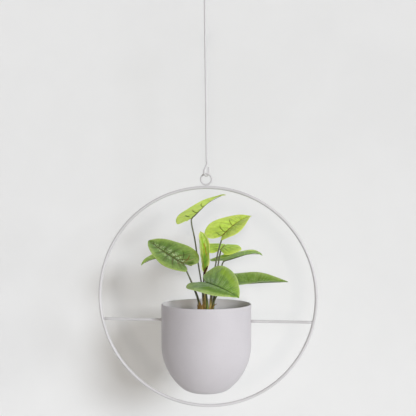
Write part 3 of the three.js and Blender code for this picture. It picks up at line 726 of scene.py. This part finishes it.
def build_pot():
    lip = POT_WALL / 2
    rim = arc(POT_RADIUS - lip, -lip, lip, 0, math.pi, 8)
    outside = pot_line(0)[::-1] + rim
    verts, faces = revolve(outside + pot_line(POT_WALL), POT_STEPS, (0, 0, RIM_Z))
    # the inner faces take the paler inside coat, which is painted light against the plant's shadow there
    inner = range(POT_STEPS * (len(outside) - 1), len(faces))
    coats = [POT_COAT, POT_INSIDE_PAINTED_LIGHT]
    pot = mesh_piece("round_pot", verts, faces, coats, "planter", "pot_paint", ["pot"], second=inner)
    sharpen(pot, 55)


def laid_on_bar(verts, side, radius):
    """Turns points made round Z so that their height points out along a bar."""
    return [(side * (radius + z), -side * x, BAR_Z + y) for x, y, z in verts]


SCREW_STEPS = 48
HEAD_TOP = -2.15
WASHER_THICKNESS = 0.6
WASHER_LINE = [(1.7, 0), (3.3, 0), (3.5, 0.15), (3.5, 0.45), (3.3, WASHER_THICKNESS), (1.7, WASHER_THICKNESS)]
# radius, height and whether the cross recess runs there, from the middle of the head to the shank's end
SCREW_LINE = [
    (0.0, -1.3, 0), (0.55, -1.35, 1), (1.5, -1.7, 1), (1.75, -2.12, 1), (2.35, -1.75, 0), (2.68, -1.2, 0),
    (2.8, -0.6, 0), (2.8, -0.1, 0), (2.7, 0, 0), (1.5, 0, 0), (1.5, 8.6, 0), (1.2, 9, 0), (0.0, 9, 0),
]


def screw_mesh():
    """A pan-head screw. The marked rings lie in the head's top and sink where an arm of the recess runs."""
    verts, faces = revolve([(r, z) for r, z, _ in SCREW_LINE], SCREW_STEPS)
    start = 1
    for _, z, cross in SCREW_LINE[1:-1]:
        for i in range(SCREW_STEPS if cross else 0):
            x, y, _ = verts[start + i]
            in_arm = abs(math.cos(4 * math.pi * i / SCREW_STEPS)) ** 6 > 0.55
            verts[start + i] = (x, y, z if in_arm else HEAD_TOP)
        start += SCREW_STEPS
    return verts, faces


def build_fixings():
    face = POT_RADIUS - POT_WALL - 0.3
    for word, side in (("left", -1), ("right", 1)):
        verts, faces = revolve(WASHER_LINE, 40)
        verts = laid_on_bar([(x, y, z - WASHER_THICKNESS) for x, y, z in verts], side, face)
        washer = mesh_piece(f"flat_washer_{word}", verts, faces, ZINC, "planter", "zinc", [f"washer_{word}"])
        sharpen(washer)
        verts, faces = screw_mesh()
        verts = laid_on_bar(verts, side, face - 0.9)
        screw = mesh_piece(f"pan_screw_{word}", verts, faces, ZINC, "planter", "zinc", [f"screw_{word}"])
        sharpen(screw, 35)


# ---------------------------------------------------------------- nursery pot and soil

floor_z = RIM_Z - POT_STRAIGHT + NURSERY_SEAT_GAP - math.sqrt(
    (POT_DOME_RADIUS - POT_WALL) ** 2 - (NURSERY_BASE - POT_RADIUS + POT_DOME_RADIUS) ** 2
)
nursery_slope = (NURSERY_TOP - NURSERY_BASE) / (LIP_Z - floor_z)


def nursery_radius(z):
    """The nursery pot's outer radius at a height."""
    return NURSERY_BASE + nursery_slope * (z - floor_z)


def build_nursery():
    lip_low = LIP_Z - 6
    floor_top = floor_z + NURSERY_WALL
    outer = NURSERY_TOP + 2.5
    inner = NURSERY_TOP - NURSERY_WALL
    profile = [
        (0, floor_z), (22, floor_z), (NURSERY_BASE - 0.6, floor_z), (NURSERY_BASE + 0.1, floor_z + 0.6),
        *[(nursery_radius(z), z) for z in np.linspace(floor_z + 8, lip_low, 8)],
        (outer - 0.3, lip_low), (outer, lip_low + 0.3), (outer, LIP_Z - 0.8), (outer - 0.3, LIP_Z - 0.2),
        (outer - 0.9, LIP_Z), (inner + 0.5, LIP_Z), (inner, LIP_Z - 0.4),
        *[(nursery_radius(z) - NURSERY_WALL, z) for z in np.linspace(LIP_Z - 8, floor_top + 0.5, 8)],
        (nursery_radius(floor_top) - NURSERY_WALL - 0.5, floor_top), (22, floor_top), (0, floor_top),
    ]
    verts, faces = revolve(profile, 96)
    pot = mesh_piece("grower_pot", verts, faces, moulded_black(), "plant", "black_plastic", ["nursery_pot"])
    sharpen(pot, 50)


def rough(x, y, scale, seed):
    """A smooth, repeatable roughness between about -1 and 1."""
    total = 0.0
    for k in range(1, 5):
        total += math.sin(x * scale * k * 0.9 + seed * k + 1.7 * math.sin(y * scale * k * 1.1 + k)) / k
    return total / 2


SOIL_RINGS = 34
BARE_FOOT = 14  # no loose crumbs this close to the stalks


def soil_drop(share):
    """How far the soil has sunk at a share of its radius."""
    return 2 * max(0, share - 0.3) / 0.7


def build_soil():
    low = floor_z + NURSERY_WALL + 0.3
    edge = nursery_radius(SOIL_Z - 2) - NURSERY_WALL - 0.3
    bottom = nursery_radius(low) - NURSERY_WALL - 0.3
    tops = [(0, 0)] + [(edge * i / SOIL_RINGS, -soil_drop(i / SOIL_RINGS)) for i in range(1, SOIL_RINGS + 1)]
    sides = [(bottom + (edge - bottom) * t, low + (SOIL_Z - 2 - low) * t - SOIL_Z) for t in (0.66, 0.33, 0)]
    profile = tops + sides
    profile.append((0, low - SOIL_Z))
    verts, faces = revolve(profile, 120, (0, 0, SOIL_Z))
    heaped = []
    for x, y, z in verts:
        r = math.hypot(x, y)
        if z > SOIL_Z - 2.5 and r < edge - 0.05:
            fade = min(1, (edge - r) / 3)
            z += fade * (0.45 * rough(x, y, 0.55, 1) + 0.35 * rough(x, y, 1.7, 4) - 0.35)
        heaped.append((x, y, z))
    faces = [face[::-1] for face in faces]
    mesh_piece("soil_ball", heaped, faces, soil_material(), "plant", "soil", ["potting_soil"])
    # loose crumbs and perlite
    for name, material, count, size in (("soil_crumbs", soil_material(), 240, 1.5),
                                        ("perlite_grains", perlite_material(), 60, 1.1)):
        parts = []
        for _ in range(count):
            r = (edge - 3) * math.sqrt(rng.random())
            angle = rng.random() * 2 * math.pi
            x, y = r * math.cos(angle), r * math.sin(angle)
            if r < BARE_FOOT:
                continue
            half = size * (0.45 + 0.55 * rng.random())
            line = [(0, -1), (0.75, -0.6), (1, 0), (0.7, 0.65), (0, 1)]
            ball, skin = revolve([(half * r, half * z) for r, z in line], 7)
            turn = Euler(tuple(rng.random(3) * 6), "XYZ").to_matrix()
            z = SOIL_Z - soil_drop(r / edge) + half * 0.1
            parts.append(([tuple(Vector((x, y, z)) + turn @ Vector((a, b * 0.75, c * 0.6))
                                 * float(0.8 + 0.4 * rng.random())) for a, b, c in ball], skin))
        mesh_piece(name, *joined(*parts), material, "plant", "soil")


# ---------------------------------------------------------------- plant


BEND_STEPS = 12
ROWS, HALF = 64, 15  # rows along a blade and columns on either side of its midrib
FRONTMOST, BACKMOST = -72.7, 88.6  # blades stay between these, inside the CAD's own reach in Y


def blade_points(leaf, along, across, side, off):
    """Bends places on the flat blade into space, as the CAD does."""
    rise, droop, hook, sway, roll, fold, curl, heading = (
        math.radians(leaf[k]) for k in ("rise", "droop", "hook", "sway", "roll", "fold", "curl", "heading")
    )
    half = leaf["width"] / 2
    q = np.abs(across) / half
    slope = fold - curl * q
    out = half * (math.sin(fold) - np.sin(slope)) / curl - np.abs(side) * off * np.sin(slope)
    up = half * (np.cos(slope) - math.cos(fold)) / curl
    up = up + off * np.where(side == 0, 1 / math.cos(fold), np.cos(slope))
    share = along / leaf["length"]

    def bend_at(s):
        return droop * s + hook * np.maximum(s, 0) ** 4

    x, z = 0, 0
    for i in range(BEND_STEPS):
        bend = bend_at(share * (i + 0.5) / BEND_STEPS)
        x = x + np.cos(bend) * along / BEND_STEPS
        z = z - np.sin(bend) * along / BEND_STEPS
    bend = bend_at(share)
    swayed = side * out + leaf["length"] * sway * share * np.abs(share) / 2
    points = np.stack([x + up * np.sin(bend), swayed, z + up * np.cos(bend)], -1)
    turn = np.array(Euler((0, 0, heading)).to_matrix() @ Euler((0, -rise, 0)).to_matrix()
                    @ Euler((roll, 0, 0)).to_matrix())
    return points @ turn.T + np.array(leaf["base"]) + (0, 0, SOIL_Z)


def outline_points(leaf, shares):
    """One side's edge from the notch to the tip, as shares of the length and of half the width."""
    form = np.array(leaf["form"], float)
    place = shares * (len(form) - 1)
    i = np.minimum(place.astype(int), len(form) - 2)
    t = (place - i)[:, None]
    p0, p1, p2, p3 = form[np.maximum(i - 1, 0)], form[i], form[i + 1], form[np.minimum(i + 2, len(form) - 1)]
    v0, v1 = (p2 - p0) / 2, (p3 - p1) / 2
    line = (2 * p1 - 2 * p2 + v0 + v1) * t**3 + (-3 * p1 + 3 * p2 - 2 * v0 - v1) * t**2 + v0 * t + p1
    line[:, 0] = np.where(line[:, 0] < 0, line[:, 0] * leaf["lobe"] / LOBE_REACH, line[:, 0])
    return line


def build_leaf(name, leaf, seed):
    """A thin blade: quilted between its side veins, furrowed along its midrib, a little wavy at its edge."""
    shares = np.linspace(0, 1, ROWS + 1)
    margin = outline_points(leaf, shares)
    columns = np.arange(-HALF, HALF + 1)
    q = (np.abs(columns) / HALF)[None, :] ** 0.9
    side = np.broadcast_to(-np.sign(columns)[None, :].astype(float), (ROWS + 1, 2 * HALF + 1))
    s = shares[:, None]
    along = ((1 - q) * s**1.6 + q * margin[:, :1]) * leaf["length"]
    across = q * margin[:, 1:] * leaf["width"] / 2
    foot = np.broadcast_to(s, along.shape)
    quilt = 0.55 * np.sin(math.pi * ((foot * SIDE_VEINS) % 1)) ** 2 * np.clip(4 * q * (1 - q), 0, 1)
    furrow = -0.45 * np.exp(-((across / 1.3) ** 2))
    wave = 1.1 * np.sin(2 * math.pi * (foot * 3.2 + seed * 0.37) + side) * q**4 * np.sin(math.pi * foot)
    thick = 0.62 - 0.34 * q
    lift = quilt + furrow + wave - 0.15
    upper = blade_points(leaf, along, across, side, lift)
    lower = blade_points(leaf, along, across, side, lift - thick)
    verts = np.concatenate([upper.reshape(-1, 3), lower.reshape(-1, 3)])
    verts[:, 1] = np.clip(verts[:, 1], FRONTMOST, BACKMOST)
    wide = 2 * HALF + 1
    layer = (ROWS + 1) * wide

    def at(row, column, low):
        return low * layer + row * wide + column

    end = wide - 1
    cells = [(row, c) for row in range(ROWS) for c in range(end)]
    faces = [(at(r, c, 0), at(r, c + 1, 0), at(r + 1, c + 1, 0), at(r + 1, c, 0)) for r, c in cells]
    faces += [(at(r, c, 1), at(r + 1, c, 1), at(r + 1, c + 1, 1), at(r, c + 1, 1)) for r, c in cells]
    for r in range(ROWS):
        faces.append((at(r, 0, 0), at(r + 1, 0, 0), at(r + 1, 0, 1), at(r, 0, 1)))
        faces.append((at(r, end, 0), at(r, end, 1), at(r + 1, end, 1), at(r + 1, end, 0)))
    vein_map = np.stack([foot, 0.5 - side * q / 2], -1).reshape(-1, 2)
    flat_map = np.stack([along / leaf["length"], 0.5 - side * across / leaf["width"]], -1).reshape(-1, 2)
    slot = next(r["material_slot"] for r in frame["record"]["subparts"] if r["node"] == f"leaf_{name}")
    piece = mesh_piece(
        f"blade_{name}", verts, faces,
        [blade_material(f"leaf_{name}", leaf), blade_under_material(f"leaf_{name}_under", leaf)],
        "plant", slot, [f"leaf_{name}"],
        uvs={"veins": np.concatenate([vein_map] * 2), "flat": np.concatenate([flat_map] * 2)},
        second=range(len(cells), 2 * len(cells)),
    )
    # the rows meet in one point at the notch and at the tip
    bm = bmesh.new()
    bm.from_mesh(piece.data)
    bmesh.ops.remove_doubles(bm, verts=bm.verts, dist=2e-6)
    bmesh.ops.dissolve_degenerate(bm, dist=1e-7, edges=bm.edges)
    bm.to_mesh(piece.data)
    bm.free()


# the colour of each stalk's foot: its own pale yellow-brown or olive green, made much paler as painted light
# against the shade of the leaves over the feet
FEET_WITH_PAINTED_LIGHT = {
    "top": (216, 190, 112), "furled": (232, 206, 124), "front": (142, 158, 78), "upper_right": (224, 196, 112),
    "middle_right": (118, 124, 72), "right_back": (110, 120, 72), "right_low": (126, 136, 84),
    "left": (118, 124, 76), "far_left": (112, 118, 72),
}
# Stalks with a sheathing foot, and how high above the soil the foot reaches.
SHEATHED = {"top": 50, "furled": 46, "front": 42, "upper_right": 52}


def build_stalk(name, leaf):
    """A stalk, thicker at its foot, running on under the blade as a thinning midrib."""
    zero = np.zeros(1)

    def under(share, gap):
        """A place under the midrib, at a share of the blade's length."""
        drop = -BLADE_THICKNESS - gap * math.cos(math.radians(leaf["fold"]))
        return blade_points(leaf, zero + share * leaf["length"], zero, zero, drop)[0]

    x, y = leaf["root"]
    up = np.array((0, 0, SOIL_Z))
    last = np.array(leaf["via"][-1]) + up
    points = [np.array(p) + up for p in [(x, y, -12), (x, y, -6), (x, y, 1), *leaf["via"]]]
    points.append(under(0, 1.5) * 0.88 + last * 0.12)
    points += [under(*at) for at in ((0.03, 1.35), (0.17, 1.0), (0.34, 0.75), (0.6, 0.5), (0.9, 0.35))]
    line = centripetal(points, 9)
    radii = []
    stop = len(leaf["via"]) + 3
    for i, point in enumerate(line):
        height = point[2] - SOIL_Z
        span = i / 9
        if name in SHEATHED:
            r = STALK / 2 + 1.05 * float(np.interp(height, (SHEATHED[name] - 16, SHEATHED[name]), (1, 0)))
        else:
            r = STALK / 2 * (1.0 + 0.32 * max(0, 1 - max(height, 0) / 34) ** 1.5)
        if span > stop + 0.6:
            r *= max(0.26, 1 - (span - stop - 0.6) / 4.2)
        radii.append(r)
    high = (98, 102, 72) if name != "furled" else (74, 60, 38)
    if name in ("upper_right", "middle_right", "top"):
        high = (106, 108, 82)
    material = stalk_material(f"stalk_{name}_skin", FEET_WITH_PAINTED_LIGHT[name], high, 30 if name != "furled" else 50)
    slot = "dry_sheath" if name == "furled" else "stalk"
    mesh_piece(f"petiole_{name}", *tube(line, radii, 14), material, "plant", slot, [f"stalk_{name}"])


HUSK_ROWS, HUSK_COLUMNS = 22, 40
HUSK_HEIGHT = 34
# how high the torn edge stands at even steps round the husk, as shares of its height
HUSK_EDGE = [0.62, 0.8, 0.72, 0.95, 1, 0.78, 0.88, 0.7, 0.5]


def husk_face(inner):
    """The outside of the dry sheath, or its inside when inner is 1: a torn collar, open to one side."""
    grid = []
    for row in range(HUSK_ROWS + 1):
        share = row / HUSK_ROWS
        for c in range(HUSK_COLUMNS + 1):
            angle = math.radians(170 + 200 * c / HUSK_COLUMNS)
            tall = float(np.interp(c / HUSK_COLUMNS * 8, range(9), HUSK_EDGE))
            tall *= 0.9 + 0.1 * math.sin(c * 2.9) * share
            ripple = 0.25 * math.sin(c * 1.3 + 4 * share) * share
            radius = 4.8 + 0.6 * share + ripple - 0.8 * inner * (1 - 0.5 * share)
            height = SOIL_Z + 0.3 + HUSK_HEIGHT * tall * share
            grid.append((-8.5 + radius * math.cos(angle), -4 + radius * math.sin(angle), height))
    return grid


def dry_rod(name, points, per_span, at, sizes, material, replaces=()):
    """A dry piece on the soil. sizes are its radii at shares of its length, which are in at."""
    line = centripetal(points, per_span)
    radii = np.interp(np.linspace(0, 1, len(line)), at, sizes)
    mesh_piece(name, *tube(line + (0, 0, SOIL_Z), radii, 12), material, "plant", "dry_sheath", replaces)


def build_husk():
    """The dry sheath and the dry shoot at the stalks' feet, and the dark sheath."""
    dry = dry_material()
    verts = husk_face(0) + husk_face(1)
    wide, layer = HUSK_COLUMNS + 1, (HUSK_ROWS + 1) * (HUSK_COLUMNS + 1)
    faces = []
    for row in range(HUSK_ROWS):
        for c in range(HUSK_COLUMNS):
            a, b = row * wide + c, (row + 1) * wide + c
            faces.append((a, a + 1, b + 1, b))
            faces.append((a + layer, b + layer, b + layer + 1, a + layer + 1))
        for c, flip in ((0, True), (HUSK_COLUMNS, False)):
            a, b = row * wide + c, (row + 1) * wide + c
            faces.append((a, b, b + layer, a + layer) if flip else (a, a + layer, b + layer, b))
    for c in range(HUSK_COLUMNS):
        a = HUSK_ROWS * wide + c
        faces.append((a, a + 1, a + 1 + layer, a + layer))
        faces.append((c, c + layer, c + 1 + layer, c + 1))
    mesh_piece("husk", verts, faces, dry, "plant", "dry_sheath", ["dry_sheath"])

    # what is left of the sheath that the furled leaf came out of
    dry_rod(
        "dark_sheath",
        [(-5.3, 7.2, 58), (-5.2, 6.4, 64), (-4.6, 5.8, 70), (-3.2, 5.4, 76), (-0.8, 5.2, 81), (2.0, 5.4, 86.5)],
        8, (0, 0.2, 0.55, 0.85, 1), (0.7, 1.1, 1.7, 1.5, 0.5), dark_husk(),
    )
    dry_rod(
        "shoot", [(9, -6.5, 0.3), (9, -6.2, 6), (9.7, -5, 18), (13, -4.5, 24), (17.5, -4.5, 26.5)],
        10, (0, 0.5, 0.8, 1), (1.2, 1.15, 0.8, 0.3), dry, ["dry_shoot"],
    )


# ---------------------------------------------------------------- stage, light and camera


def build_stage():
    """A pale wall behind that turns into the floor."""
    wall_y, floor, bend, wall_top, front, half_wide = 245.0, -1500.0, 300.0, 2200.0, -9000.0, 7000.0
    line = [(wall_y, wall_top), (wall_y, floor + bend)]
    line += [(wall_y - bend + bend * math.cos(a), floor + bend - bend * math.sin(a))
             for a in np.linspace(0, math.pi / 2, 17)[1:]]
    line.append((front, floor))
    verts = [(x, y, z) for y, z in line for x in (-half_wide, half_wide)]
    faces = [(2 * i, 2 * i + 2, 2 * i + 3, 2 * i + 1) for i in range(len(line) - 1)]
    wall = mesh_piece("backdrop", verts, faces, wall_material(), None)


def lamp(name, azimuth, elevation, strength, angle, colour=(1, 1, 1)):
    """A soft sun. azimuth is counted from the front towards +X."""
    data = bpy.data.lights.new(name, "SUN")
    data.energy = strength
    data.angle = math.radians(angle)
    data.color = colour
    light = bpy.data.objects.new(name, data)
    bpy.context.scene.collection.objects.link(light)
    a, e = math.radians(azimuth), math.radians(elevation)
    towards = Vector((math.sin(a) * math.cos(e), -math.cos(a) * math.cos(e), math.sin(e)))
    light.rotation_euler = towards.to_track_quat("Z", "Y").to_euler()


def build_light_and_camera():
    scene = bpy.context.scene
    lamp("key", 34, 15, 1.7, 15, (0.95, 1.0, 1.07))
    lamp("side", 64, 7, 0.42, 10)
    lamp("front", 7, 6, 0.55, 7, (1.0, 0.92, 0.84))
    lamp("top", 24, 40, 0.12, 36, (1.0, 0.9, 0.8))
    world = bpy.data.worlds.new("studio")
    scene.world = world
    world.use_nodes = True
    nodes, links = world.node_tree.nodes, world.node_tree.links
    light = nodes["Background"]
    light.inputs[0].default_value = (1.0, 0.92, 0.84, 1.0)
    light.inputs[1].default_value = 0.11
    pale = nodes.new("ShaderNodeBackground")
    pale.inputs[0].default_value = (0.8, 0.8, 0.79, 1.0)
    pick = nodes.new("ShaderNodeMixShader")
    links.new(nodes.new("ShaderNodeLightPath").outputs["Is Camera Ray"], pick.inputs[0])
    links.new(light.outputs[0], pick.inputs[1])
    links.new(pale.outputs[0], pick.inputs[2])
    links.new(pick.outputs[0], nodes["World Output"].inputs[0])
    data = bpy.data.cameras.new("camera")
    data.lens = 69.23
    data.sensor_width = 36.0
    camera = bpy.data.objects.new("camera", data)
    camera.location = (0.16586, -1.27325, -0.358)
    camera.rotation_euler = (math.radians(90), 0, math.radians(7.3))
    scene.collection.objects.link(camera)
    scene.camera = camera
    scene.view_settings.view_transform = "Standard"


build_metal()
build_pot()
build_fixings()
build_nursery()
build_soil()
for number, (leaf_name, leaf_form) in enumerate(LEAVES.items()):
    build_leaf(leaf_name, leaf_form, number)
    build_stalk(leaf_name, leaf_form)
build_husk()
build_stage()
build_light_and_camera()
